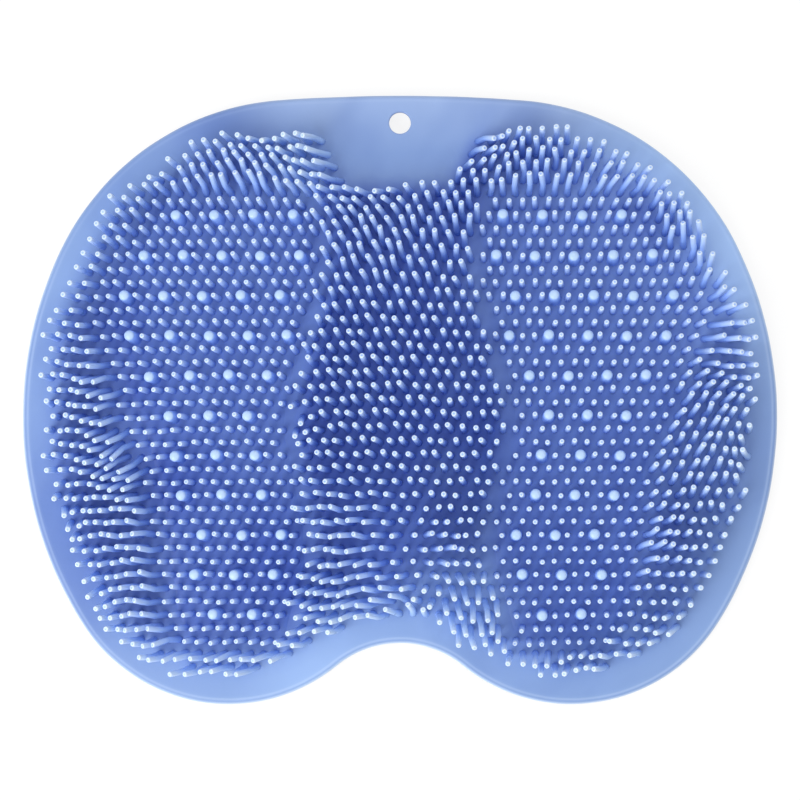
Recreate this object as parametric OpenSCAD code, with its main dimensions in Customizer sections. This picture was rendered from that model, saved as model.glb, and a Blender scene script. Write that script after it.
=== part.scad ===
// Shower foot scrubber: one soft moulded mat that lies on the floor of a shower.
// The top carries a sole of short bristles and round knobs for each foot, and long
// bristles round and between the soles. The underside carries suction cups.
// The origin is on the floor under the middle of the mat, with +Y towards the hanging hole.

/* [Mat] */
// Width of the mat from side to side
mat_w = 300; // [280:1:330]
// Depth of the mat from its top edge to the foot of its two lobes
mat_d = 242; // [230:1:255]
// Thickness of the flat sheet
sheet_t = 2.2; // [2:0.1:4]
// Height of the widest line above the foot of the lobes, as a share of the depth
waist = 0.472; // [0.45:0.002:0.49]
// Radius of the two long sides, as a share of the height from the widest line to the top
side_bend = 1.204; // [1.16:0.002:1.24]
// Angle over which a side rises from the widest line to its shoulder, in degrees
side_turn = 26; // [22:1:30]
// How far the middle of the top edge lies above the crowns of the shoulders
crown_rise = 1.4; // [0.6:0.1:6]
// Radius of the two lobes under the heels
lobe_r = 68.5; // [62:0.5:72]
// Radius of the notch between the two lobes
notch_r = 39.5; // [30:0.5:55]
// Radius of the rounded upper rim
rim_r = 1.7; // [0.5:0.1:1.8]
// How far the pads under the feet and between them rise above the sheet
pad_rise = 0.3; // [0.1:0.1:1]

/* [Hanging hole] */
// Diameter of the hanging hole
hole_d = 8.6; // [5:0.1:14]
// Distance from the top edge to the middle of the hole
hole_drop = 11; // [9:0.5:16]
// Width of the bare tab round the hole, where it meets the bristles
tab_w = 40; // [30:1:60]
// Height of the bare tab, from the top edge to the first bristles between the soles
tab_h = 36.5; // [25:0.5:50]
// How much each side of the tab spreads for each millimetre upwards
tab_flare = 0.5; // [0:0.05:0.8]

/* [Bristles] */
// How many times the distance between neighbours in a row fits across the mat
places_across = 58.6; // [50:0.2:60]
// How many times the distance between rows fits into the depth of the mat
rows_down = 46.5; // [40:0.5:48]
// Distance from the top edge down to the first row that has knobs
knob_drop = 49.8; // [47:0.1:54]
// Bare rim at the sides
side_margin = 9.5; // [8:0.5:15]
// Bare rim at the top edge and at the lobes
end_margin = 14; // [9:0.5:18]
// Length of the short bristles, on the soles
short_l = 9.5; // [6:0.5:12]
// Diameter of a short bristle at its tip
short_d = 2; // [1.2:0.1:2.4]
// Length of the long bristles, round and between the soles
long_l = 15.5; // [12:0.5:18]
// Diameter of a long bristle at its tip
long_d = 2.2; // [1.2:0.1:2.6]
// How much wider a bristle is at its root than at its tip
draft = 0.3; // [0:0.1:0.6]
// Height of a knob
knob_h = 8.5; // [5:0.5:12]
// Diameter of a knob
knob_d = 4.2; // [3:0.1:5]
// Width of the bare lane along the inner side of each sole
lane_w = 2.5; // [0:0.5:6]

/* [Suction cups] */
// Height of the suction cups, which is how high the sheet stands
cup_h = 5; // [3.5:0.5:8]
// Diameter of a suction cup at its rim
cup_d = 13; // [9:0.5:16]
// Diameter of the neck that joins a cup to the sheet
cup_neck_d = 5; // [3:0.5:7]
// Depth of the hollow in a cup
cup_hollow = 2.4; // [1:0.1:3]
// Thickness of a cup at its rim
cup_lip_t = 0.6; // [0.4:0.1:1.2]
// Distance between neighbouring cups
cup_pitch = 27; // [20:1:40]
// Bare rim of the underside, to the middle of the nearest cups
cup_margin = 15; // [12:0.5:25]

/* [Hidden] */

// The outline is five tangent arcs on each side of the middle. Each entry holds the
// centre, the radius, the angles that the arc runs between, and 1 where it bulges
// outwards or -1 for the notch, which bulges inwards.
top_y = mat_d / 2;
heel_y = -mat_d / 2;
half_w = mat_w / 2;
waist_y = heel_y + waist * mat_d;
side_r = side_bend * (top_y - waist_y);
side_c = [half_w - side_r, waist_y];
side_rise = top_y - crown_rise - waist_y;
shoulder_r = (side_rise - side_r * sin(side_turn)) / (1 - sin(side_turn));
shoulder_c = side_c + (side_r - shoulder_r) * [cos(side_turn), sin(side_turn)];
top_a = 90 - 2 * atan(crown_rise / shoulder_c.x);
top_r = shoulder_r + shoulder_c.x / cos(top_a);
top_c = [0, top_y - top_r];
lobe_c_y = heel_y + lobe_r;
lobe_c = [side_c.x + sqrt(pow(side_r - lobe_r, 2) - pow(lobe_c_y - waist_y, 2)), lobe_c_y];
notch_c = [0, lobe_c_y - sqrt(pow(lobe_r + notch_r, 2) - pow(lobe_c.x, 2))];
apex_y = notch_c.y + notch_r;
side_a = heading(lobe_c - side_c);
lobe_a = heading(lobe_c - notch_c);
half_turn = 180;
ARCS = [
    [top_c, top_r, 90, top_a, 1],
    [shoulder_c, shoulder_r, top_a, side_turn, 1],
    [side_c, side_r, side_turn, side_a, 1],
    [lobe_c, lobe_r, side_a, lobe_a - half_turn, 1],
    [notch_c, notch_r, lobe_a, 90, -1],
];
// Length of outline between two of its points
arc_step = 5;

// Direction of a vector, in degrees
function heading(v) = atan2(v.y, v.x);
// Points along one arc, moved inwards by an inset
function arc_points(arc, inset) =
    let (turn = arc[3] - arc[2], r = arc[1] - arc[4] * inset,
        n = max(2, ceil(abs(turn) / half_turn * PI * arc[1] / arc_step)))
    [for (i = [0 : n - 1]) let (a = arc[2] + turn * i / n) arc[0] + r * [cos(a), sin(a)]];
// The right half of the outline, from the top to the notch, and the whole outline
function half_edge(inset) = [for (arc = ARCS) each arc_points(arc, inset)];
function edge(inset) =
    let (h = half_edge(inset), n = len(h))
    concat(h, [[0, apex_y + inset]], [for (i = [n - 1 : -1 : 1]) [-h[i].x, h[i].y]]);
// Distance from a point to the edge of the mat, less than nothing outside. It is taken to
// the arcs that face the point, and the nearest of them counts.
function faces(arc, p) =
    let (a = heading(p - arc[0])) a >= min(arc[2], arc[3]) && a <= max(arc[2], arc[3]);
function edge_gap(p) =
    let (q = [abs(p.x), p.y],
        gaps = [for (arc = ARCS) if (faces(arc, q)) arc[4] * (arc[1] - norm(q - arc[0]))],
        nearest = min([for (g = gaps) abs(g)]))
    [for (g = gaps) if (abs(g) == nearest) g][0];

// The soles: their inner and outer edges as shares of half the width, at heights that are
// shares of half the depth
sole_inner = [
    [-0.8, 0.3], [-0.66, 0.267], [-0.55, 0.237], [-0.42, 0.24], [-0.25, 0.267], [-0.1, 0.293],
    [0.02, 0.28], [0.15, 0.253], [0.3, 0.223], [0.45, 0.197], [0.56, 0.207], [0.65, 0.233],
];
sole_outer = [
    [-0.8, 0.553], [-0.7, 0.6], [-0.45, 0.627], [-0.33, 0.643], [-0.1, 0.687], [0, 0.727],
    [0.1, 0.74], [0.29, 0.807], [0.42, 0.757], [0.52, 0.707], [0.65, 0.653],
];
sole_top = 0.65;
sole_foot = -0.79;
function share(y) = y / top_y;
function inner_x(y) = half_w * lookup(share(y), sole_inner);
function outer_x(y) = half_w * lookup(share(y), sole_outer);
function on_sole(p) =
    share(p.y) < sole_top && share(p.y) > sole_foot
    && abs(p.x) > inner_x(p.y) && abs(p.x) < outer_x(p.y);

// Outlines of the pads: one under each sole, and one between the soles
pad_steps = 18;
mid_foot = -0.66;
mid_gap = 3;
mid_overlap = 0.02;
function between(lo, hi) = [for (i = [0 : pad_steps]) lo + (hi - lo) * i / pad_steps];
function sole_pad() = concat(
    [for (y = top_y * between(sole_foot, sole_top)) [inner_x(y), y]],
    [for (y = top_y * between(sole_top, sole_foot)) [outer_x(y), y]]
);
mid_top = share(top_y - tab_h) + mid_overlap;
function mid_pad() = concat(
    [for (y = top_y * between(mid_foot, mid_top)) [inner_x(y) - mid_gap, y]],
    [for (y = top_y * between(mid_top, mid_foot)) [mid_gap - inner_x(y), y]]
);

// Places of bristles and knobs. Row 0 is the first with knobs, and rows count downwards.
// Odd rows are shifted by half a pitch. A place is [column, row], and columns of the odd
// rows end in a half.
row_lo = -10;
row_hi = 40;
columns = 32;
pitch_x = mat_w / places_across;
pitch_y = mat_d / rows_down;
function spot(c, r) = [c * pitch_x, top_y - knob_drop - r * pitch_y];
function on_tab(p) =
    p.y > top_y - tab_h && abs(p.x) < tab_w / 2 + tab_flare * (p.y - top_y + tab_h);
function on_lane(p) =
    share(p.y) < sole_top && share(p.y) > sole_foot && abs(abs(p.x) - inner_x(p.y)) < lane_w / 2;
function margin(p) = side_margin + (end_margin - side_margin) * pow(share(p.y), 2);
PLACES = [for (r = [row_lo : row_hi], i = [-columns : columns])
    let (c = i + (r % 2 == 0 ? 0 : 0.5), p = spot(c, r))
    if (edge_gap(p) > margin(p) && !on_tab(p) && !on_lane(p)) [c, r]];

// Every third row has knobs: the column of the innermost knob on the right, and how many
// follow it, three columns apart. The left is the mirror image.
knob_rows = [
    [8, 4], [7.5, 5], [9, 5], [8.5, 5], [10, 4], [11.5, 3], [11, 3], [10.5, 3], [9, 3], [9.5, 3], [11, 2],
];
knob_step = 3;
KNOBS = [for (k = [0 : len(knob_rows) - 1], i = [0 : knob_rows[k][1] - 1], s = [-1, 1])
    [s * (knob_rows[k][0] + knob_step * i), knob_step * k]];
function is_knob(c, r) =
    r < 0 || r % knob_step != 0 || r / knob_step >= len(knob_rows) ? false
    : let (k = knob_rows[r / knob_step], i = (abs(c) - k[0]) / knob_step)
        i == floor(i) && i >= 0 && i < k[1];

// The bristles lean where use has combed them. Each stroke is [x, y, reach, lean x,
// lean y]: place and reach on the mat, and how far it carries the tip of a long bristle,
// in millimetres on a mat of the width stroke_mat_w.
stroke_mat_w = 300;
unit = mat_w / stroke_mat_w;
strokes = [
    [-59, 82, 18, -1, 5], [-54, 105, 14, 0, -5], [-19, 97, 19, -8, -2], [-84, 84, 12, 1, 1],
    [-95, 93, 10, -2, -4], [28, 104, 14, 7, -3], [55, 84, 16, 0, 4], [83, 81, 15, 4, 3],
    [102, 88, 12, 2, 0], [117, 58, 18, -1, 6], [122, 29, 14, 7, -1], [131, 15, 13, 2, -3],
    [122, -3, 13, 2, 3], [120, -28, 17, 1, 3], [141, -22, 14, -4, 0], [95, -58, 15, 4, 2],
    [126, -48, 12, -2, 0], [28, -84, 15, 2, -8], [54, -97, 14, 0, -4], [86, -104, 16, -5, 0],
    [112, -92, 13, -5, -2], [-120, 36, 18, 0, -2], [-112, 9, 14, -4, -3], [-102, -18, 18, -5, -7],
    [-98, -50, 15, -4, 0], [-92, -78, 18, -5, 1], [-139, -8, 15, 4, -1], [-135, -46, 13, 5, -3],
    [-120, -76, 14, 0, -3], [-84, -100, 18, -5, -2], [-50, -100, 18, -6, -2],
    [-18, -76, 18, -6, -3], [-2, -78, 11, -5, 1], [6, -88, 9, 2, 5], [-7, 58, 20, -1, 4],
    [-5, 86, 12, -1, -3], [25, 68, 14, 0, 3], [-8, 4, 25, -1, 1], [-29, -43, 13, -3, 0],
    [-11, -52, 14, -5, 0], [12, -59, 14, 5, 0], [-43, -9, 9, 2, -5],
];
// Share of the strokes that the short bristles and the knobs of the soles follow
sole_share = 0.4;
// Lean that all bristles share
common_lean = [-1.5, 1.8];
// Largest irregular lean of a bristle
wobble = 0.5;
// Steepest lean, from upright
lean_max = 55;
function lean(p, c, r) =
    let (s = [for (k = strokes) exp(-pow(norm(p / unit - [k[0], k[1]]) / k[2], 2)) * [k[3], k[4]]],
        combed = (on_sole(p) ? sole_share : 1) * ([for (k = s) 1] * s),
        uneven = wobble * [sin(c * 137 + r * 71), cos(c * 89 - r * 113)])
    unit * (common_lean + combed + uneven);

// A leaning bristle starts this far below the top of the sheet, so that its whole root is inside
root_sink = 1.1;
sheet_top = cup_h + sheet_t;

// Tilts what stands at the origin by the lean that carries the tip of a long bristle so far
module leaning(move) {
    tilt = min(lean_max, asin(min(1, norm(move) / long_l)));
    rotate([0, tilt, heading(move)]) children();
}

// A tapered bristle
module bristle(l, tip_d) {
    cylinder(h = l + root_sink, d1 = tip_d + draft, d2 = tip_d, $fn = 24);
}

// A stiff knob with a domed end. The dome is a chain of chords that ends in a small flat.
dome_step = 15;
dome_end = 75;
module knob() {
    r = knob_d / 2;
    top = knob_h + root_sink;
    rotate_extrude($fn = 36) polygon(concat(
        [[0, 0], [r + draft, 0]],
        [for (a = [0 : dome_step : dome_end]) [r * cos(a), top - r + r * sin(a)]],
        [[0, top - r + r * sin(dome_end)]]
    ));
}

// The plate: rings of points that follow the outline, from the flat underside up round
// the rim to the flat top, each given by its inset and height
rim_step = 30;
module plate() {
    rings = concat([[0, 0]],
        [for (a = [0 : rim_step : 90]) [rim_r * (1 - cos(a)), sheet_t - rim_r * (1 - sin(a))]]);
    n = len(edge(0));
    k = len(rings);
    points = concat(
        [for (ring = rings, p = edge(ring[0])) [p.x, p.y, ring[1]]],
        [[0, 0, 0], [0, 0, sheet_t]]
    );
    walls = [for (j = [0 : k - 2], i = [0 : n - 1]) let (m = (i + 1) % n)
        [j * n + i, j * n + m, (j + 1) * n + m, (j + 1) * n + i]];
    underside = [for (i = [0 : n - 1]) [(i + 1) % n, i, k * n]];
    top = [for (i = [0 : n - 1]) [(k - 1) * n + i, (k - 1) * n + (i + 1) % n, k * n + 1]];
    polyhedron(points, concat(walls, underside, top));
}

// The sheet: the plate with the pads on it and the hanging hole through it
module sheet() {
    difference() {
        union() {
            plate();
            linear_extrude(sheet_t + pad_rise) {
                for (side = [-1, 1]) polygon([for (p = sole_pad()) [side * p.x, p.y]]);
                polygon(mid_pad());
            }
        }
        translate([0, top_y - hole_drop, -1]) cylinder(h = sheet_t + 2, d = hole_d, $fn = 96);
    }
}

// A suction cup under the sheet, with a hollow face that presses on the floor
module cup() {
    rotate_extrude($fn = 48)
        polygon([
            [0, cup_hollow], [cup_neck_d / 4, cup_hollow], [cup_d / 2 - cup_lip_t, 0],
            [cup_d / 2, 0], [cup_d / 2, cup_lip_t], [cup_neck_d / 2, cup_h - cup_lip_t],
            [cup_neck_d / 2, cup_h + sheet_t / 2], [0, cup_h + sheet_t / 2],
        ]);
}

module suction_cups() {
    n = ceil(mat_w / cup_pitch / 2);
    for (j = [-n : n], i = [-n : n]) {
        p = cup_pitch * [i + (j % 2 == 0 ? 0 : 0.5), j * sqrt(3) / 2];
        if (edge_gap(p) > cup_margin) translate([p.x, p.y, 0]) cup();
    }
}

module scrubber_mat() {
    color([0.42, 0.52, 0.86]) {
        translate([0, 0, cup_h]) sheet();
        for (k = PLACES) {
            p = spot(k[0], k[1]);
            if (!is_knob(k[0], k[1]))
                translate([p.x, p.y, sheet_top - root_sink]) leaning(lean(p, k[0], k[1]))
                    if (on_sole(p)) bristle(short_l, short_d);
                    else bristle(long_l, long_d);
        }
        for (k = KNOBS) {
            p = spot(k[0], k[1]);
            translate([p.x, p.y, sheet_top - root_sink]) leaning(lean(p, k[0], k[1])) knob();
        }
        suction_cups();
    }
}

scrubber_mat();
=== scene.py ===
"""The looks of the shower foot scrubber, built in the frame of its CAD part, in metres.

The sizes and the rules for the outline, the lattice and the lean are those of the CAD part.
Every surface is a formula on whole arrays, and every material works from places and from the
marks that surfaces carry on their points.
"""

import math

import bpy
import numpy as np
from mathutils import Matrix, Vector

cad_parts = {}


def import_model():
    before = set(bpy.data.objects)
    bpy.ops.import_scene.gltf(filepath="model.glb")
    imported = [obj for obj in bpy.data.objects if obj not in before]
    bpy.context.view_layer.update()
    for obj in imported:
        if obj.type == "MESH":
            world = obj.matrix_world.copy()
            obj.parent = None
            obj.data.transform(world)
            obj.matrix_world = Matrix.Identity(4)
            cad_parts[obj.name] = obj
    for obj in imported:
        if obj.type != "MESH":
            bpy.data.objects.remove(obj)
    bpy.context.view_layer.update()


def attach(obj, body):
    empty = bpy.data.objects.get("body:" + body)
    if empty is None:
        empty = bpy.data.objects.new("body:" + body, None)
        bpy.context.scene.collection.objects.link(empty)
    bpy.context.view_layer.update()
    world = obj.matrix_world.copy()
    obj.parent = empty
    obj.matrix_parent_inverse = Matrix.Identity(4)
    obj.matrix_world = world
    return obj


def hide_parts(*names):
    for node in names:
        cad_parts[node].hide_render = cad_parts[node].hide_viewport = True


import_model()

MM = 0.001

# Sizes, as in the part
MAT_W, MAT_D, SHEET_T = 300 * MM, 242 * MM, 2.2 * MM
WAIST, SIDE_BEND, SIDE_TURN, CROWN_RISE = 0.472, 1.204, math.radians(26), 1.4 * MM
LOBE_R, NOTCH_R = 68.5 * MM, 39.5 * MM
RIM_R, PAD_RISE = 1.7 * MM, 0.3 * MM
HOLE_D, HOLE_DROP = 8.6 * MM, 11 * MM
TAB_W, TAB_H, TAB_FLARE = 40 * MM, 36.5 * MM, 0.5
PITCH_X, PITCH_Y, KNOB_DROP = MAT_W / 58.6, MAT_D / 46.5, 49.8 * MM
SIDE_MARGIN, END_MARGIN = 9.5 * MM, 14 * MM
SHORT_L, SHORT_D, LONG_L, LONG_D, DRAFT = 9.5 * MM, 2 * MM, 15.5 * MM, 2.2 * MM, 0.3 * MM
KNOB_H, KNOB_D, KNOB_STEP = 8.5 * MM, 4.2 * MM, 3
LANE_W, ROOT_SINK = 2.5 * MM, 1.1 * MM
CUP_H, CUP_D, CUP_NECK_D = 5 * MM, 13 * MM, 5 * MM
CUP_HOLLOW, CUP_LIP_T, CUP_PITCH, CUP_MARGIN = 2.4 * MM, 0.6 * MM, 27 * MM, 15 * MM
ROW_LO, ROW_HI, COLUMNS = -10, 40, 32

TOP_Y = MAT_D / 2
HEEL_Y = -MAT_D / 2
SHEET_TOP = CUP_H + SHEET_T

# Soles: inner and outer edges as shares of half the width, at shares of half the depth
SOLE_INNER = [
    (-0.8, 0.3), (-0.66, 0.267), (-0.55, 0.237), (-0.42, 0.24), (-0.25, 0.267), (-0.1, 0.293),
    (0.02, 0.28), (0.15, 0.253), (0.3, 0.223), (0.45, 0.197), (0.56, 0.207), (0.65, 0.233),
]
SOLE_OUTER = [
    (-0.8, 0.553), (-0.7, 0.6), (-0.45, 0.627), (-0.33, 0.643), (-0.1, 0.687), (0, 0.727),
    (0.1, 0.74), (0.29, 0.807), (0.42, 0.757), (0.52, 0.707), (0.65, 0.653),
]
# Ends of the soles and foot of the middle pad, its gap to the soles, and its overlap with the tab
SOLE_TOP, SOLE_FOOT, MID_FOOT, MID_GAP, MID_OVERLAP = 0.65, -0.79, -0.66, 3 * MM, 0.02

# Innermost knob column and count, for every third row
KNOB_ROWS = [
    (8, 4), (7.5, 5), (9, 5), (8.5, 5), (10, 4), (11.5, 3), (11, 3), (10.5, 3), (9, 3), (9.5, 3), (11, 2),
]

# Combing strokes: place, reach and how far the tip of a long bristle is carried, in millimetres
STROKES = [
    (-59, 82, 18, -1, 5), (-54, 105, 14, 0, -5), (-19, 97, 19, -8, -2), (-84, 84, 12, 1, 1),
    (-95, 93, 10, -2, -4), (28, 104, 14, 7, -3), (55, 84, 16, 0, 4), (83, 81, 15, 4, 3),
    (102, 88, 12, 2, 0), (117, 58, 18, -1, 6), (122, 29, 14, 7, -1), (131, 15, 13, 2, -3),
    (122, -3, 13, 2, 3), (120, -28, 17, 1, 3), (141, -22, 14, -4, 0), (95, -58, 15, 4, 2),
    (126, -48, 12, -2, 0), (28, -84, 15, 2, -8), (54, -97, 14, 0, -4), (86, -104, 16, -5, 0),
    (112, -92, 13, -5, -2), (-120, 36, 18, 0, -2), (-112, 9, 14, -4, -3), (-102, -18, 18, -5, -7),
    (-98, -50, 15, -4, 0), (-92, -78, 18, -5, 1), (-139, -8, 15, 4, -1), (-135, -46, 13, 5, -3),
    (-120, -76, 14, 0, -3), (-84, -100, 18, -5, -2), (-50, -100, 18, -6, -2),
    (-18, -76, 18, -6, -3), (-2, -78, 11, -5, 1), (6, -88, 9, 2, 5), (-7, 58, 20, -1, 4),
    (-5, 86, 12, -1, -3), (25, 68, 14, 0, 3), (-8, 4, 25, -1, 1), (-29, -43, 13, -3, 0),
    (-11, -52, 14, -5, 0), (12, -59, 14, 5, 0), (-43, -9, 9, 2, -5),
]
# Lean that all share, the strokes' share on the soles, the irregular lean, and the steepest angle
COMMON_LEAN, SOLE_SHARE, WOBBLE, LEAN_MAX = (-1.5, 1.8), 0.4, 0.5, math.radians(55)
# Degrees by which the irregular lean, across and along, goes on with each column and each row
WOBBLE_ACROSS, WOBBLE_ALONG = (137, 71), (89, -113)
# More than any distance on the mat
FAR = 9.0


# The rules of the part
def heading(v):
    """Direction of a vector, in radians."""
    return math.atan2(v[1], v[0])


def outline_arcs():
    """The five tangent arcs of the right half: centre, radius, two angles, and 1 or -1 for bulge.
    The side bends with a share of its height and turns by a set angle, the shoulder then ends a set
    step below the top, and the top, lobe and notch are tangent to their neighbours."""
    waist_y = HEEL_Y + WAIST * MAT_D
    side_r = SIDE_BEND * (TOP_Y - waist_y)
    side = np.array([MAT_W / 2 - side_r, waist_y])
    rise = TOP_Y - CROWN_RISE - waist_y
    shoulder_r = (rise - side_r * math.sin(SIDE_TURN)) / (1 - math.sin(SIDE_TURN))
    shoulder = side + (side_r - shoulder_r) * np.array([math.cos(SIDE_TURN), math.sin(SIDE_TURN)])
    top_a = math.pi / 2 - 2 * math.atan(CROWN_RISE / shoulder[0])
    top_r = shoulder_r + shoulder[0] / math.cos(top_a)
    top = np.array([0, TOP_Y - top_r])
    lobe_y = HEEL_Y + LOBE_R
    lobe = np.array([side[0] + math.sqrt((side_r - LOBE_R) ** 2 - (lobe_y - waist_y) ** 2), lobe_y])
    notch = np.array([0, lobe_y - math.sqrt((LOBE_R + NOTCH_R) ** 2 - lobe[0] ** 2)])
    side_a, lobe_a = heading(lobe - side), heading(lobe - notch)
    return [
        (top, top_r, math.pi / 2, top_a, 1),
        (shoulder, shoulder_r, top_a, SIDE_TURN, 1),
        (side, side_r, SIDE_TURN, side_a, 1),
        (lobe, LOBE_R, side_a, lobe_a - math.pi, 1),
        (notch, NOTCH_R, lobe_a, math.pi / 2, -1),
    ]


ARCS = outline_arcs()


def outline_samples(step):
    """Points about a step apart, anticlockwise: each lies at a centre plus a radius in a direction, and
    these are given with the bulge of its arc. The left half is the right one mirrored."""
    rows = []
    for centre, radius, a0, a1, bulge in ARCS:
        n = max(2, math.ceil(abs(a1 - a0) * radius / step))
        a = a0 + (a1 - a0) * np.arange(n) / n
        rows.append(np.stack([a * 0 + centre[0], a * 0 + centre[1], a * 0 + radius, a, a * 0 + bulge], 1))
    # the last arc's end lies on the middle line
    rows.append(np.array([[*centre, radius, a1, bulge]]))
    right = np.concatenate(rows)
    left = right[-2:0:-1].copy()
    left[:, 0] *= -1
    left[:, 3] = math.pi - left[:, 3]
    return np.concatenate([right, left])[::-1]


def edge(samples, inset):
    """The outline moved inwards: each point slides along its own arc's radius."""
    x, y, radius, a, bulge = samples.T
    r = radius - bulge * np.asarray(inset)[..., None]
    return np.stack([x + r * np.cos(a), y + r * np.sin(a)], -1)


def edge_gap(p):
    """Signed distance to the outline: to the nearest of the arcs that face the point."""
    q = np.stack([np.abs(p[..., 0]), p[..., 1]], -1)
    best = np.full(q.shape[:-1], FAR)
    for centre, radius, a0, a1, bulge in ARCS:
        v = q - centre
        a = np.arctan2(v[..., 1], v[..., 0])
        gap = bulge * (radius - np.hypot(v[..., 0], v[..., 1]))
        faced = (a >= min(a0, a1)) & (a <= max(a0, a1)) & (np.abs(gap) < np.abs(best))
        best = np.where(faced, gap, best)
    return best


def sole_x(y, table):
    """An edge of a sole at a height: straight lines between the shares of a table."""
    return np.interp(y / TOP_Y, [t[0] for t in table], [t[1] for t in table]) * MAT_W / 2


def sole_span(p):
    """Where a point's height lies within the soles."""
    return (p[..., 1] / TOP_Y < SOLE_TOP) & (p[..., 1] / TOP_Y > SOLE_FOOT)


def on_sole(p):
    """Between the inner and outer edges of a sole."""
    x = np.abs(p[..., 0])
    return sole_span(p) & (x > sole_x(p[..., 1], SOLE_INNER)) & (x < sole_x(p[..., 1], SOLE_OUTER))


def sole_depth(p):
    """How far a point lies inside a sole, measured sideways or along the length."""
    x, y = np.abs(p[..., 0]), p[..., 1]
    sideways = np.minimum(x - sole_x(y, SOLE_INNER), sole_x(y, SOLE_OUTER) - x)
    return np.minimum(sideways, np.minimum(SOLE_TOP * TOP_Y - y, y - SOLE_FOOT * TOP_Y))


def tab_gap(p):
    """How far a point is outside the bare tab, measured sideways or downwards."""
    across = np.abs(p[..., 0]) - TAB_W / 2 - TAB_FLARE * (p[..., 1] - TOP_Y + TAB_H)
    return np.maximum(across, TOP_Y - TAB_H - p[..., 1])


def margin(p):
    """Width of the bare rim: it grows with the square of the height."""
    return SIDE_MARGIN + (END_MARGIN - SIDE_MARGIN) * (p[..., 1] / TOP_Y) ** 2


def spot(c, r):
    """A place on the lattice, in metres."""
    return np.stack([c * PITCH_X, TOP_Y - KNOB_DROP - r * PITCH_Y], -1)


def lattice():
    """Columns and rows of all places that carry a bristle or a knob, and which carry a knob."""
    r, i = np.meshgrid(np.arange(ROW_LO, ROW_HI + 1), np.arange(-COLUMNS, COLUMNS + 1), indexing="ij")
    r, c = r.ravel().astype(float), i.ravel() + (r.ravel() % 2) * 0.5
    p = spot(c, r)
    bare = sole_span(p) & (np.abs(np.abs(p[:, 0]) - sole_x(p[:, 1], SOLE_INNER)) < LANE_W / 2)
    kept = (edge_gap(p) > margin(p)) & (tab_gap(p) > 0) & ~bare
    c, r = c[kept], r[kept]
    table = np.array(KNOB_ROWS)
    k = np.clip(r // KNOB_STEP, 0, len(table) - 1).astype(int)
    i = (np.abs(c) - table[k, 0]) / KNOB_STEP
    knob = (r >= 0) & (r % KNOB_STEP == 0) & (r // KNOB_STEP < len(table))
    knob &= (i == np.floor(i)) & (i >= 0) & (i < table[k, 1])
    return c, r, knob


def lean(p, c, r):
    """How far the tip of a long bristle is carried: soft strokes, a common part and an irregular one."""
    s = np.array(STROKES, float)
    d2 = ((p[:, None, :] / MM - s[None, :, :2]) ** 2).sum(2)
    sum_of_strokes = np.exp(-d2 / s[:, 2] ** 2) @ s[:, 3:]
    across = np.radians(c * WOBBLE_ACROSS[0] + r * WOBBLE_ACROSS[1])
    along = np.radians(c * WOBBLE_ALONG[0] + r * WOBBLE_ALONG[1])
    uneven = np.stack([np.sin(across), np.cos(along)], 1)
    combed = np.where(on_sole(p), SOLE_SHARE, 1)[:, None] * sum_of_strokes
    return (np.array(COMMON_LEAN) + combed + WOBBLE * uneven) * MM


# Meshes from arrays
def smooth(x):
    """Smooth step from 0 to 1."""
    x = np.clip(x, 0, 1)
    return x * x * (3 - 2 * x)


def ramp(x, start, width):
    """Smooth step from 0 to 1 that begins at a start and takes a width."""
    return smooth((x - start) / width)


def build(name, points, quads, tris=None, marks=()):
    """One mesh object at the origin, smooth shaded, with float attributes on its points."""
    points = np.ascontiguousarray(points, np.float32).reshape(-1, 3)
    quads = np.asarray(quads, np.int32).reshape(-1, 4)
    tris = np.zeros((0, 3), np.int32) if tris is None else np.asarray(tris, np.int32).reshape(-1, 3)
    loops = np.concatenate([quads.ravel(), tris.ravel()])
    starts = np.concatenate([np.arange(len(quads)) * 4, quads.size + np.arange(len(tris)) * 3])
    mesh = bpy.data.meshes.new(name)
    mesh.vertices.add(len(points))
    mesh.vertices.foreach_set("co", points.ravel())
    mesh.loops.add(len(loops))
    mesh.loops.foreach_set("vertex_index", loops)
    mesh.polygons.add(len(starts))
    mesh.polygons.foreach_set("loop_start", starts)
    mesh.polygons.foreach_set("use_smooth", np.ones(len(starts), bool))
    for mark, values in dict(marks).items():
        data = mesh.attributes.new(mark, "FLOAT", "POINT").data
        data.foreach_set("value", np.ascontiguousarray(values, np.float32).ravel())
    mesh.update(calc_edges=True)
    mesh.validate()
    obj = bpy.data.objects.new(name, mesh)
    bpy.context.scene.collection.objects.link(obj)
    return obj


def net(rows, cols, wrap_rows=False, wrap_cols=True):
    """Quads over a net of points, in which rows, columns or both may run round."""
    i = np.arange(rows if wrap_rows else rows - 1)[:, None]
    j = np.arange(cols if wrap_cols else cols - 1)[None, :]
    i1, j1 = (i + 1) % rows, (j + 1) % cols
    return np.stack([i * cols + j, i * cols + j1, i1 * cols + j1, i1 * cols + j], -1).reshape(-1, 4)


def repeat(count, size, faces):
    """The same faces for each of count copies of size points."""
    return (np.arange(count)[:, None, None] * size + faces[None]).reshape(-1, faces.shape[1])


def directions(sides):
    """Even directions round a circle, in radians."""
    return np.arange(sides) / sides * 2 * math.pi


def turned(profile, sides, low, high):
    """A closed form turned about Z: a ring of points at each radius and height of a profile, then a
    pole under them and a pole on top of them."""
    radius, h = np.array(profile).T[:, :, None]
    a = directions(sides)
    rings = np.stack([radius * np.cos(a), radius * np.sin(a), h + a * 0], -1)
    return np.concatenate([rings.reshape(-1, 3), [[0, 0, low], [0, 0, high]]])


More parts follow.
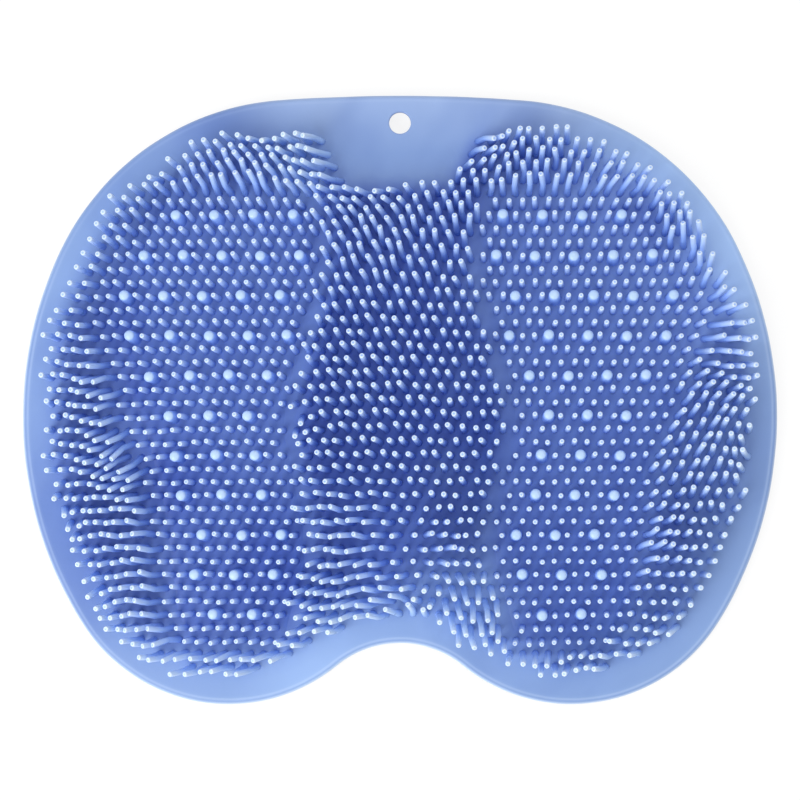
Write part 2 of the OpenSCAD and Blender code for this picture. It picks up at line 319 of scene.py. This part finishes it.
def spindles(name, points, rings, sides, **marks):
    """Many closed forms in one mesh. Each has rings of points, then a pole under them and a pole on top
    of them. A mark is given for each point of a form, for each form, or as one number."""
    count, size = points.shape[:2]
    j = np.arange(sides)
    j1 = (j + 1) % sides
    low, high, last = rings * sides, rings * sides + 1, (rings - 1) * sides
    under = np.stack([j1, j, j * 0 + low], 1)
    over = np.stack([last + j, last + j1, j * 0 + high], 1)
    quads = repeat(count, size, net(rings, sides))
    tris = repeat(count, size, np.concatenate([under, over]))
    marks = {mark: np.broadcast_to(values, (count, size)) for mark, values in marks.items()}
    return build(name, points, quads, tris, marks)


# The pieces
RIPPLE, RIPPLE_REACH = 0.35 * MM, 11 * MM
# The solids' outline has facets, and the sheet keeps just inside them
FACET_GAP = 0.02 * MM
# Depth of the field's painted shade on the soles and in the bands round them, and how much deeper the soles
# and how much paler the middle are at the heel
SOLE_COVER, BAND_COVER, HEEL_DEEPEN, HEEL_EASE = 0.57, 0.4, 0.15, 0.25
# Spacing of the sheet's points round the rim, rings of its top face, and their crowding at the hole
SPACING, TOP_RINGS, CROWDING = 1.3 * MM, 56, 1.25
# Painted highlight along the outer edge and, fainter, further in, and a painted shade line between them:
# distance from the outline, and width
RIM_HIGHLIGHT_LINE, INNER_HIGHLIGHT_LINE, RIM_SHADE_LINE = (0, 0.8 * MM), (2.2 * MM, 0.5 * MM), (1.35 * MM, 0.4 * MM)
# Points across a pad, along a sole and along the middle, and how many of them its edge takes
PAD_COLS, SOLE_ROWS, MID_ROWS, PAD_EDGE = 60, 120, 110, 5
# How far the pads reach into the sheet, at their edge and at their underside
PAD_SINK, PAD_BASE = 0.3 * MM, 0.8 * MM
# How far a bristle bends over, how that differs from one to the next, and how far it bows sideways
BEND, BEND_SPREAD, BEND_STEP, BOW, BOW_STEP = 0.2, 0.1, 2.4, 0.5, 1.7
# Tone in the dimple of a bristle's end, lower to paint shade into it, and depth of its pole
DIMPLE_TONE, DIMPLE = 0.75, 0.03 * MM


def ripple(x, y, gap):
    """Soft waves of the bare rim: a sum of three sines with 9, 23 and 41 waves round the mat, the last
    with an uneven step, that together reach RIPPLE at most and die away inwards."""
    turn = np.arctan2(y, x)
    second, third = 0.7, 0.5
    waves = np.sin(turn * 9 + 0.7) + second * np.sin(turn * 23 + 2.1)
    waves += third * np.sin(turn * 41 + np.sin(turn * 5) * 2)
    return RIPPLE * waves / (1 + second + third) * np.exp(-np.maximum(gap, 0) / RIPPLE_REACH)


# Soft round patches: place, reach and strength, in millimetres. Waves of the bare rim catch more or less
# light, and clouds are where the field looks deeper, or paler, than its rule has it
# The waves' patches are painted highlight where they are above 0, and painted shade where they are below 0
WAVE_SHADING = [
    (138, 45, 32, 0.9), (104, 84, 34, 1.0), (-132, -55, 45, -1.0), (-72, 106, 22, -0.9),
    (-116, 88, 18, -0.4), (146, -25, 25, -0.3), (-32, -112, 22, 0.5), (0, 100, 30, -0.2),
    (50, 110, 13, -0.6), (120, 68, 20, 0.3),
]
# Clouds make the painted shade of the field deeper, or paler, in patches
CLOUDS = [
    (-30, 97, 16, -0.95), (28, -81, 16, -0.95), (9, -77, 15, -0.6), (-22, -89, 14, -0.7),
    (-52, -68, 16, 0.45), (-93, -32, 17, 0.45), (-112, 30, 15, 0.3), (-106, 3, 14, 0.3),
    (130, -18, 16, -0.25), (117, -4, 10, 0.2), (123, -58, 16, -0.3), (90, -94, 14, -0.25),
    (43, 103, 12, 0.35), (100, 76, 12, 0.3), (108, -52, 10, 0.2), (-54, -42, 10, 0.2),
    (23, 38, 14, -0.35), (27, 8, 12, -0.25), (20, -28, 14, -0.3), (22, -56, 12, -0.25),
]


def patches(p, table):
    """Sum of soft round patches: each falls off as a bell curve with its reach."""
    t = np.array(table, float)
    d2 = ((p[..., None, :] / MM - t[:, :2]) ** 2).sum(-1)
    return np.exp(-d2 / t[:, 2] ** 2) @ t[:, 3]


def cover_at(p):
    """How deep in the bristle field a place on the sheet lies, which sets how much painted shade the sheet
    and the roots of bristles and knobs there get: 0 on the rim and the tab, 1 between the soles, and less on
    the soles and in the bands round them. Middle and soles differ less towards the heel, and the clouds,
    which make the painted shade deeper or paler in patches, are added."""
    x, y = np.abs(p[..., 0]), p[..., 1]
    low = ramp(-y, start=-20 * MM, width=60 * MM)
    heel = ramp(-y, start=10 * MM, width=70 * MM)
    from_rim = ramp(edge_gap(p) - margin(p), start=-5 * MM, width=(15 + 6 * low) * MM)
    from_tab = ramp(tab_gap(p), start=-5 * MM, width=9 * MM)
    past_inner = ramp(x - sole_x(y, SOLE_INNER), start=-9 * MM, width=11 * MM)
    in_sole = ramp(sole_depth(p), start=-4 * MM, width=8 * MM)
    between, sole = 1 - HEEL_EASE * heel, SOLE_COVER + HEEL_DEEPEN * heel
    outside = BAND_COVER + (sole - BAND_COVER) * in_sole
    field = between + (outside - between) * past_inner + patches(p, CLOUDS)
    return from_rim * from_tab * np.clip(field, 0, 1)


def line(gap, middle, width):
    """A bell curve of the distance to the outline, 1 in the middle of a line along the rim."""
    return np.exp(-(((gap - middle) / width) ** 2))


def mat_sheet():
    """The sheet with its hole. Each ring of points is a blend of the inset outline and the hole's
    circle, at a height: flat underside, rounded rim, top face, rounded mouth and wall of the hole.
    The painted highlight and painted shade lines along the rim are fainter at the top edge, and the waves
    fade out round the hole."""
    samples = outline_samples(SPACING)
    hole, bore, flat = np.array([0, TOP_Y - HOLE_DROP]), HOLE_D / 2, RIM_R + 2 * MM
    corner, mouth, under = 0.35 * MM, 0.4 * MM, 3 * MM
    wide = bore + mouth
    # a quarter of a turn in steps: the share gone sideways, and the share still left upwards
    turns = np.radians(np.linspace(0, 90, 9))
    aside, left = 1 - np.cos(turns), 1 - np.sin(turns)
    # inset of the outline, share of the circle, its radius, and height
    rings = [(0, 1, wide, CUP_H), (under, 0.6, bore, CUP_H), (under, 0, bore, CUP_H)]
    rings += [(corner * c, 0, bore, CUP_H + corner * s) for c, s in zip(aside[::-2], left[::-2])]
    rings += [(RIM_R * c, 0, bore, SHEET_TOP - RIM_R * s) for c, s in zip(aside, left)]
    rings += [(RIM_R + d * MM, 0, wide, SHEET_TOP) for d in (0.3, 0.7, 1.2)]
    rings += [(flat, 1 - t ** CROWDING, wide, SHEET_TOP) for t in np.linspace(1, 0, TOP_RINGS)]
    rings += [(flat, 1, bore + mouth * s, SHEET_TOP - mouth * c) for c, s in zip(aside[2::2], left[2::2])]
    rings += [(flat, 1, bore, CUP_H + mouth)]
    inset, share, radius, z = np.array(rings).T[:, :, None]
    away = edge(samples, 0.0) - hole
    away /= np.hypot(away[:, 0], away[:, 1])[:, None]
    outer = edge(samples, np.maximum(inset[:, 0], FACET_GAP))
    share = share[..., None]
    xy = (1 - share) * outer + share * (hole + radius[..., None] * away)
    x, y = xy[..., 0], xy[..., 1]
    gap = edge_gap(xy)
    lift = ripple(x, y, gap) * ramp(np.hypot(x - hole[0], y - hole[1]), start=0, width=12 * MM)
    points = np.dstack([xy, z + lift])
    # how strong the painted highlight and painted shade lines along the rim are: full towards the heel, where
    # the rounded rim faces the light, and fainter at the top edge
    clear = 0.3 + 0.7 * ramp(-y, start=-80 * MM, width=60 * MM)
    # the underside shows no light along its rim
    above = z > CUP_H + 0.2 * MM
    rim = (line(gap, *RIM_HIGHLIGHT_LINE) + 0.3 * line(gap, *INNER_HIGHLIGHT_LINE)) * clear * above
    rim_shade = line(gap, *RIM_SHADE_LINE) * clear
    marks = {"cover": cover_at(xy), "rim": rim, "rim_shade": rim_shade, "wave_shading": patches(xy, WAVE_SHADING)}
    return build("mat_sheet", points, net(len(z), len(samples), wrap_rows=True), marks=marks)


def slab(x, y):
    """A low pad over a net of places: it rises out of the sheet along its edge by a smooth step, and is
    closed by walls round the net and by a flat copy of the net below."""
    rows, cols = x.shape
    i, j = np.arange(rows)[:, None], np.arange(cols)[None, :]
    steps = np.minimum(np.minimum(i, rows - 1 - i), np.minimum(j, cols - 1 - j))
    z = SHEET_TOP - PAD_SINK + (PAD_SINK + PAD_RISE) * smooth(steps / PAD_EDGE)
    top = np.stack([x, y, z], -1).reshape(-1, 3)
    under = np.stack([x, y, x * 0 + SHEET_TOP - PAD_BASE], -1).reshape(-1, 3)
    quads = net(rows, cols, wrap_cols=False)
    # numbers of the points, and those of the edge in one loop
    n = rows * cols
    number = np.arange(n).reshape(rows, cols)
    loop = np.concatenate([number[0, :-1], number[:-1, -1], number[-1, :0:-1], number[:0:-1, 0]])
    after = np.roll(loop, -1)
    walls = np.stack([after, loop, loop + n, after + n], 1)
    return np.concatenate([top, under]), np.concatenate([quads, quads[:, ::-1] + n, walls])


def foot_pads():
    """Three low pads, under the soles and between them. Places run straight across from one edge to
    the other, and evenly along the length."""
    across = np.linspace(0, 1, PAD_COLS)[None, :]
    y = np.linspace(SOLE_FOOT, SOLE_TOP, SOLE_ROWS)[:, None] * TOP_Y
    inner, outer = sole_x(y, SOLE_INNER), sole_x(y, SOLE_OUTER)
    x = inner + (outer - inner) * across
    pads = [slab(x, y + x * 0), slab(-x[:, ::-1], y + x * 0)]
    mid_top = (TOP_Y - TAB_H) / TOP_Y + MID_OVERLAP
    y = np.linspace(MID_FOOT, mid_top, MID_ROWS)[:, None] * TOP_Y
    x = (sole_x(y, SOLE_INNER) - MID_GAP) * (2 * across - 1)
    pads.append(slab(x, y + x * 0))
    starts = np.cumsum([0] + [len(points) for points, faces in pads])
    quads = np.concatenate([faces + start for (points, faces), start in zip(pads, starts)])
    points = np.concatenate([points for points, faces in pads])
    p, zero = points[:, :2], points[:, 0] * 0
    marks = {"cover": cover_at(p), "rim": zero, "rim_shade": zero, "wave_shading": patches(p, WAVE_SHADING)}
    return build("foot_pads", points, quads, marks=marks)


def tilts(moves):
    """Direction of the lean, and its angle from upright, which carries the tip of a long bristle that far."""
    size = np.hypot(moves[:, 0], moves[:, 1])
    return moves / size[:, None], np.minimum(LEAN_MAX, np.arcsin(np.minimum(1, size / LONG_L)))


def stalks(name, roots, moves, length, tip_d, extra):
    """Bristles as closed spindles. The centre line leaves the sheet a little steeper than the straight line
    to the tip and bends over, a little sideways too, to end at the same tip; the radius tapers, flares at the
    root, and closes in a round end with a shallow dimple. The tone, which sets the painted shade at the root
    and the painted light up the stalk, rises from root to tip, and the tip mark, which carries the painted
    glow of the end, is 1 on the round shoulder of the end and low in its dimple."""
    full, tip_r, sides = length + ROOT_SINK, tip_d / 2, 8
    base_r = tip_r + DRAFT / 2
    d, tilt = tilts(moves)
    # distance along the bristle, radius there, and tip mark, for the flare, the stalk and the end
    stations = [(0.3 * MM, base_r + 0.4 * MM, 0), (ROOT_SINK + 0.75 * MM, base_r + 0.1 * MM, 0)]
    stations += [(full * s, tip_r + DRAFT / 2 * (1 - s), 0) for s in extra]
    stations += [(full - 0.5 * tip_r, tip_r, 0.5), (full - 0.14 * tip_r, 0.88 * tip_r, 1),
                 (full - 0.02 * tip_r, 0.6 * tip_r, 1), (full - 0.12 * tip_r, 0.36 * tip_r, 0.1)]
    at, radius, mark = np.array(stations).T
    u = at / full
    order = np.arange(len(roots))
    bend = (BEND + BEND_SPREAD * np.sin(order * BEND_STEP))[:, None]
    steeper = bend / 2
    along = np.sin(tilt)[:, None] * full * u * (1 - bend + bend * u)
    up = np.cos(tilt)[:, None] * full * u * (1 + steeper * (1 - u))
    slope_along = np.sin(tilt)[:, None] * (1 - bend + 2 * bend * u)
    slope_up = np.cos(tilt)[:, None] * (1 + steeper * (1 - 2 * u))
    norm = np.hypot(slope_along, slope_up)
    # axes of each ring: level and square to the lean, and square to that and to the centre line
    level = np.stack([-d[:, 1], d[:, 0], d[:, 0] * 0], 1)[:, None, :] + norm[..., None] * 0
    other = np.stack([-d[:, 0:1] * slope_up / norm, -d[:, 1:2] * slope_up / norm, slope_along / norm], -1)
    centre = np.stack([roots[:, 0:1] + d[:, 0:1] * along, roots[:, 1:2] + d[:, 1:2] * along,
                       SHEET_TOP - ROOT_SINK + up], -1)
    bow = BOW * full * (np.sin(tilt) * np.sin(order * BOW_STEP))[:, None] * u * (1 - u)
    centre = centre + level * bow[..., None]
    a = directions(sides)[:, None]
    rings = np.cos(a) * level[:, :, None, :] + np.sin(a) * other[:, :, None, :]
    rings = centre[:, :, None, :] + rings * radius[None, :, None, None]
    axis = np.stack([d[:, 0] * slope_along[:, -1], d[:, 1] * slope_along[:, -1], slope_up[:, -1]], 1)
    axis /= norm[:, -1:]
    poles = np.stack([centre[:, 0], centre[:, -1] - axis * DIMPLE], 1)
    points = np.concatenate([rings.reshape(len(roots), -1, 3), poles], 1)
    rise = np.clip((at - ROOT_SINK) / length, 0, 1)
    rise[-1] = DIMPLE_TONE
    tone = np.concatenate([np.repeat(rise, sides), [0, DIMPLE_TONE]])
    end = np.concatenate([np.repeat(mark, sides), [0, 0]])
    cover = cover_at(roots)[:, None]
    return spindles(name, points, len(at), sides, tone=tone, tip=end, cover=cover)


def massage_knobs(roots, moves):
    """Knobs as closed spindles: a straight side that flares at the root, under a dome that flattens towards
    its middle. Each leans about its root like the bristles round it. The tone, which sets the painted shade
    at the root and the painted light up the side, rises from root to top, and the tip mark, which carries the
    painted highlight of the top, comes up within the dome."""
    r, sides, dome = KNOB_D / 2, 16, 1.3 * MM
    foot, top = ROOT_SINK + 0.3 * MM, ROOT_SINK + KNOB_H
    profile = [(r + DRAFT + 0.6 * MM, 0), (r + DRAFT + 0.4 * MM, foot), (r + DRAFT, foot + MM)]
    profile += [(r * math.cos(a), top - dome + dome * math.sin(a)) for a in np.radians([0, 20, 40, 58, 74])]
    one = turned(profile, sides, 0, top)
    d, tilt = tilts(moves)
    zero = tilt * 0
    over = np.stack([np.cos(tilt) * d[:, 0], np.cos(tilt) * d[:, 1], -np.sin(tilt)], 1)
    level = np.stack([-d[:, 1], d[:, 0], zero], 1)
    axis = np.stack([np.sin(tilt) * d[:, 0], np.sin(tilt) * d[:, 1], np.cos(tilt)], 1)
    points = np.concatenate([roots, zero[:, None] + SHEET_TOP - ROOT_SINK], 1)[:, None, :]
    for column, direction in enumerate((over, level, axis)):
        points = points + one[None, :, column, None] * direction[:, None, :]
    rise = np.clip((one[:, 2] - ROOT_SINK) / KNOB_H, 0, 1)
    crown = ramp(one[:, 2], start=top - dome, width=0.8 * MM)
    cover = cover_at(roots)[:, None]
    return spindles("massage_knobs", points, len(profile), sides, tone=rise, tip=crown, cover=cover)


def suction_cups():
    """Suction cups as turned profiles: hollow face, rounded lip, cone and neck, on a triangular lattice.
    The tone rises from lip to sheet."""
    n = math.ceil(MAT_W / CUP_PITCH / 2)
    j, i = np.meshgrid(np.arange(-n, n + 1), np.arange(-n, n + 1), indexing="ij")
    p = CUP_PITCH * np.stack([i + (j % 2) * 0.5, j * math.sqrt(3) / 2], -1).reshape(-1, 2)
    p = p[edge_gap(p) > CUP_MARGIN]
    rim, neck, lip, top = CUP_D / 2, CUP_NECK_D / 2, CUP_LIP_T, CUP_H + SHEET_T / 2
    hollow = [(neck / 4, CUP_HOLLOW), (neck / 2, CUP_HOLLOW * 0.97), (rim * 0.62, CUP_HOLLOW * 0.45)]
    rounding = [(rim - lip, 0.05 * MM), (rim - lip / 2, 0), (rim - lip * 0.1, lip * 0.25)]
    rounding += [(rim, lip * 0.6), (rim - lip * 0.3, lip)]
    cone = [(rim * 0.7, CUP_H * 0.42), (neck * 1.1, CUP_H - lip * 1.4), (neck, CUP_H - lip)]
    collar = [(neck + 0.3 * MM, CUP_H - 0.05 * MM), (neck, top)]
    profile, sides = hollow + rounding + cone + collar, 32
    one = turned(profile, sides, CUP_HOLLOW, top)
    points = one[None] + np.concatenate([p, p[:, :1] * 0], 1)[:, None, :]
    rise = np.clip(one[:, 2] / CUP_H, 0, 1)
    return spindles("suction_cups", points, len(profile), sides, tone=rise, tip=0, cover=0)


# Materials
def srgb(r, g, b):
    """A colour given as it looks on screen, from 0 to 255, in linear light: the standard curve, which is
    straight near black and then a power."""
    c = np.array([r, g, b]) / 255
    c = np.where(c <= 0.04045, c / 12.92, ((c + 0.055) / 1.055) ** 2.4)
    return (*c.tolist(), 1.0)


class Wire:
    """A value in a shader. Arithmetic with numbers and other values adds Math nodes."""

    def __init__(self, shade, socket):
        self.shade, self.socket = shade, socket

    def __add__(self, other):
        return self.shade.math("ADD", self, other)

    def __radd__(self, other):
        return self.shade.math("ADD", other, self)

    def __sub__(self, other):
        return self.shade.math("SUBTRACT", self, other)

    def __rsub__(self, other):
        return self.shade.math("SUBTRACT", other, self)

    def __mul__(self, other):
        return self.shade.math("MULTIPLY", self, other)

    def __rmul__(self, other):
        return self.shade.math("MULTIPLY", other, self)

    def __truediv__(self, other):
        return self.shade.math("DIVIDE", self, other)

    def __rtruediv__(self, other):
        return self.shade.math("DIVIDE", other, self)

    def __pow__(self, other):
        return self.shade.math("POWER", self, other)


class Shade:
    """A material, or the world, under construction."""

    def __init__(self, name=None, owner=None):
        self.material = owner or bpy.data.materials.new(name)
        self.material.use_nodes = True
        self.tree = self.material.node_tree
        self.tree.nodes.clear()

    def plug(self, socket, value):
        """A link from a wire, or a constant."""
        if isinstance(value, Wire):
            self.tree.links.new(value.socket, socket)
        else:
            socket.default_value = value

    def node(self, kind, inputs=(), out=0, **settings):
        """Any node, with its inputs by name or number, and the output that is handed back."""
        made = self.tree.nodes.new("ShaderNode" + kind)
        for key, value in settings.items():
            setattr(made, key, value)
        for key, value in dict(inputs).items():
            self.plug(made.inputs[key], value)
        return Wire(self, made.outputs[out])

    def math(self, operation, *values, clamp=False):
        """A Math node."""
        return self.node("Math", enumerate(values), operation=operation, use_clamp=clamp)

    def clamp(self, value):
        """Held between 0 and 1."""
        return self.math("ADD", value, 0.0, clamp=True)

    def mix(self, share, a, b):
        """Colour a where the share is 0, and b where it is 1."""
        return self.node("Mix", {0: share, 6: a, 7: b}, out=2, data_type="RGBA")

    def mark(self, name):
        """A float attribute of the mesh."""
        return self.node("Attribute", out="Fac", attribute_name=name)

    def place(self):
        """Object coordinates, in metres."""
        return self.node("TexCoord", out="Object")

    def part(self, vector, axis):
        """One coordinate of a vector."""
        return self.node("SeparateXYZ", {"Vector": vector}, out=axis)

    def noise(self, size, detail, stretch=(1, 1, 1), turn=0.0):
        """Noise with patches of about that size, from 0 to 1. Where a turn is given, the patches are
        turned by it about Z and drawn out where the stretch is below 1."""
        where = self.place()
        if turn:
            where = self.node("Mapping", {"Vector": where, "Rotation": (0, 0, turn)})
            where = self.node("Mapping", {"Vector": where, "Scale": stretch})
        return self.node("TexNoise", {"Vector": where, "Scale": 1 / size, "Detail": detail})

    def bump(self, height, distance, strength):
        """A normal bent by a height map."""
        return self.node("Bump", {"Height": height, "Distance": distance, "Strength": strength})

    def output(self, kind, shader):
        """The closing node, of a Material or a World."""
        out = self.tree.nodes.new("ShaderNodeOutput" + kind)
        self.tree.links.new(shader.socket, out.inputs["Surface"])

    def silicone(self, colour, roughness, normal):
        """The Principled shader of soft rubber, and the output."""
        varied = {"Base Color": colour, "Roughness": roughness, "Normal": normal}
        self.output("Material", self.node("BsdfPrincipled", {**varied, **SILICONE}))
        return self.material


# Colours of the sheet: bare; paler by the top edge, a painted light; painted highlight and painted shade on
# the waves, whose dark colour also goes on the smudges and on the painted shade line inside the rim; painted
# highlight along the rim; painted shade in the field
BARE = srgb(132, 161, 211)
BARE_TOP_LIT = srgb(155, 180, 225)
WAVE_HIGHLIGHT = srgb(166, 198, 246)
SHADE_AND_SMUDGE = srgb(99, 128, 191)
RIM_HIGHLIGHT = srgb(208, 228, 252)
FIELD_SHADE = srgb(71, 103, 187)
# Colours of bristles and knobs: painted shade at the root in the field, painted light at the root in the
# open, the stalk, painted light on the stalk in the open, a painted glow on a bristle's end, and a painted
# highlight on a knob's top
ROOT_SHADE = srgb(84, 118, 204)
OPEN_ROOT_GLOW = srgb(160, 196, 255)
BODY = srgb(157, 192, 255)
OPEN_STALK_GLOW = srgb(180, 210, 255)
TIP_GLOW = srgb(226, 240, 255)
CROWN_HIGHLIGHT = srgb(190, 216, 248)
SILICONE = {"IOR": 1.41, "Specular IOR Level": 0.5, "Coat Weight": 0.0}
# Where the painted light that makes the bare sheet paler towards the top edge starts, and in what width
TOP_LIGHT, TOP_LIGHT_W = 98 * MM, 20 * MM


def sheet_material():
    """Pale where the sheet is bare, with painted light that makes it paler by the top edge, a deep blue
    painted shade under the bristles, a painted highlight round the rim with a painted shade line inside it,
    faint smudges, and slanting streaks in the painted shade. The painted shading of the waves brings up the
    colour of shade and smudges where it is below 0, and paints a highlight on the bare sheet where it is
    above 0."""
    s = Shade("silicone_sheet")
    cover, rim, rim_shade, wave_shading = s.mark("cover"), s.mark("rim"), s.mark("rim_shade"), s.mark("wave_shading")
    broad, fine = s.noise(35 * MM, 3.0), s.noise(9 * MM, 2.0)
    streaks = s.noise(20 * MM, 3.0, stretch=(1.0, 0.22, 1.0), turn=-0.6)
    smudges = s.clamp((s.noise(28 * MM, 2.0, stretch=(1.0, 0.6, 1.0), turn=0.5) - 0.52) * 3.0)
    # painted light makes the bare sheet paler towards the top edge
    bare = s.mix(s.clamp((s.part(s.place(), "Y") - TOP_LIGHT) / TOP_LIGHT_W), BARE, BARE_TOP_LIT)
    # painted highlight where the waves catch light, and painted shade where they don't, together with the
    # random smudges
    bare = s.mix(s.clamp(wave_shading), bare, WAVE_HIGHLIGHT)
    bare = s.mix(s.clamp(-1 * wave_shading + smudges * 0.5), bare, SHADE_AND_SMUDGE)
    # the field's painted shade, a deep blue, uneven by broad patches and by streaks
    depth = s.clamp(cover + (broad - 0.5) * 0.3 * cover + (streaks - 0.5) * 0.5 * cover)
    colour = s.mix(depth, bare, FIELD_SHADE)
    # darker blotches of painted shade, stronger deeper in the field
    colour = s.mix(s.clamp((fine - 0.35) * 0.5) * cover, colour, ROOT_SHADE)
    # a painted shade line inside the rim, and a painted highlight along the rim
    colour = s.mix(rim_shade * 0.25, colour, SHADE_AND_SMUDGE)
    colour = s.mix(rim * 0.9, colour, RIM_HIGHLIGHT)
    roughness = 0.42 + (fine - 0.5) * 0.16
    dents, grain = s.noise(12 * MM, 3.0), s.noise(1.2 * MM, 2.0)
    normal = s.bump(dents * 0.7 + grain * 0.05, distance=0.9 * MM, strength=0.4)
    return s.silicone(colour, roughness, normal)


def bristle_material(name, deep, pale, end):
    """A blend from a root darkened by painted shade to a pale stalk, with a paler end, a painted glow on
    bristles and a painted highlight on knobs, fine pale speckles, and small differences from one bristle to
    the next. In the open, by the rim and the tab, painted light makes a stalk pale from the root on."""
    s = Shade(name)
    tone, tip, cover = s.mark("tone"), s.mark("tip"), s.mark("cover")
    vary, speckle = s.noise(6 * MM, 1.0), s.noise(0.8 * MM, 2.0)
    # 1 in the open, and 0 from about half the cover on: the share of painted light in the open
    clear = s.clamp(1.1 - cover * 2.4)
    # the way from the root's painted shade to the stalk's colour, which is shorter in the open
    climb = s.clamp(tone * (1.8 - 0.65 * cover) + (vary - 0.5) * 0.3 + clear * 0.2)
    colour = s.mix(climb, s.mix(cover ** 0.6, OPEN_ROOT_GLOW, deep), s.mix(clear, pale, OPEN_STALK_GLOW))
    colour = s.mix(s.clamp(tip * (0.75 + vary * 0.3)), colour, end)
    colour = s.mix(s.clamp((speckle - 0.5) * 2.0) * 0.3, colour, pale)
    roughness = 0.3 + (vary - 0.5) * 0.2
    normal = s.bump(s.noise(1.1 * MM, 2.0), distance=0.4 * MM, strength=0.3)
    return s.silicone(colour, roughness, normal)


# Assembly
columns, rows, is_knob = lattice()
places = spot(columns, rows)
moves = lean(places, columns, rows)
short = on_sole(places) & ~is_knob
long = ~on_sole(places) & ~is_knob

sheet = mat_sheet()
pads = foot_pads()
short_bristles = stalks("short_bristles", places[short], moves[short], SHORT_L, SHORT_D, ())
long_bristles = stalks("long_bristles", places[long], moves[long], LONG_L, LONG_D, (0.5,))
knobs = massage_knobs(places[is_knob], moves[is_knob])
cups = suction_cups()

sheet_look = sheet_material()
looks = [
    (sheet, sheet_look),
    (pads, sheet_look),
    (short_bristles, bristle_material("silicone_short", ROOT_SHADE, BODY, TIP_GLOW)),
    (long_bristles, bristle_material("silicone_long", ROOT_SHADE, BODY, TIP_GLOW)),
    (knobs, bristle_material("silicone_knob", ROOT_SHADE, BODY, CROWN_HIGHLIGHT)),
    (cups, bristle_material("silicone_cup", BODY, BARE, TIP_GLOW)),
]

for piece, look in looks:
    piece.data.materials.append(look)
    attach(piece, "root")
    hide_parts("scrubber_mat")


# Floor, light and camera
WHITE, OFF_WHITE = (1, 1, 1, 1), (0.9, 0.9, 0.9, 1)
# Height of the camera over the sheet, size of a pixel on the sheet, pixels across, and the sensor's width
VIEW_HEIGHT, PIXEL, PICTURE_W, SENSOR_W = 545 * MM, 0.3967 * MM, 800, 36


def seen_rays(s):
    """1 for rays from the camera and for those that gloss or glass sends on, and 0 for light."""
    path = s.node("LightPath", out="Is Camera Ray") + s.node("LightPath", out="Is Glossy Ray")
    return s.clamp(path + s.node("LightPath", out="Is Transmission Ray"))


def floor():
    """A white floor. The camera sees it a little evened out, and it keeps the object's shadow."""
    half, evened, brightness = 3.0, 0.8, 1.06
    mesh = bpy.data.meshes.new("floor")
    corners = [(-half, -half, 0), (half, -half, 0), (half, half, 0), (-half, half, 0)]
    mesh.from_pydata(corners, [], [(0, 1, 2, 3)])
    obj = bpy.data.objects.new("floor", mesh)
    bpy.context.scene.collection.objects.link(obj)
    s = Shade("floor_white")
    diffuse = s.node("BsdfDiffuse", {"Color": OFF_WHITE})
    plain = s.node("Emission", {"Color": WHITE, "Strength": brightness})
    s.output("Material", s.node("MixShader", {0: seen_rays(s) * evened, 1: diffuse, 2: plain}))
    mesh.materials.append(s.material)


def area_light(name, place, size, power):
    """A soft square lamp at a place, turned towards the middle of the mat."""
    data = bpy.data.lights.new(name, "AREA")
    data.shape, data.size, data.energy = "SQUARE", size, power
    obj = bpy.data.objects.new(name, data)
    obj.location = place
    obj.rotation_euler = (-Vector(place)).to_track_quat("-Z", "Y").to_euler()
    bpy.context.scene.collection.objects.link(obj)


def world(strength):
    """Even white light from all round, in place of which the camera sees plain white."""
    w = bpy.data.worlds.new("studio")
    s = Shade(owner=w)
    seen = seen_rays(s)
    brightness = seen + (1 - seen) * strength
    s.output("World", s.node("Background", {"Color": WHITE, "Strength": brightness}))
    bpy.context.scene.world = w


def camera():
    """Straight above the middle of the mat, at the height that the spread of the tips gives, with a
    lens that gives the photo's scale at the sheet."""
    data = bpy.data.cameras.new("camera")
    data.sensor_width = SENSOR_W
    data.lens = SENSOR_W * VIEW_HEIGHT / (PICTURE_W * PIXEL)
    obj = bpy.data.objects.new("camera", data)
    obj.location = (0, 0, SHEET_TOP + VIEW_HEIGHT)
    bpy.context.scene.collection.objects.link(obj)
    bpy.context.scene.camera = obj


floor()
area_light("key", place=(-0.6, -0.5, 0.75), size=0.75, power=8.5)
area_light("fill", place=(0.3, 0.9, 1.3), size=1.2, power=5)
world(strength=0.55)
camera()
bpy.context.scene.view_settings.view_transform = "Standard"
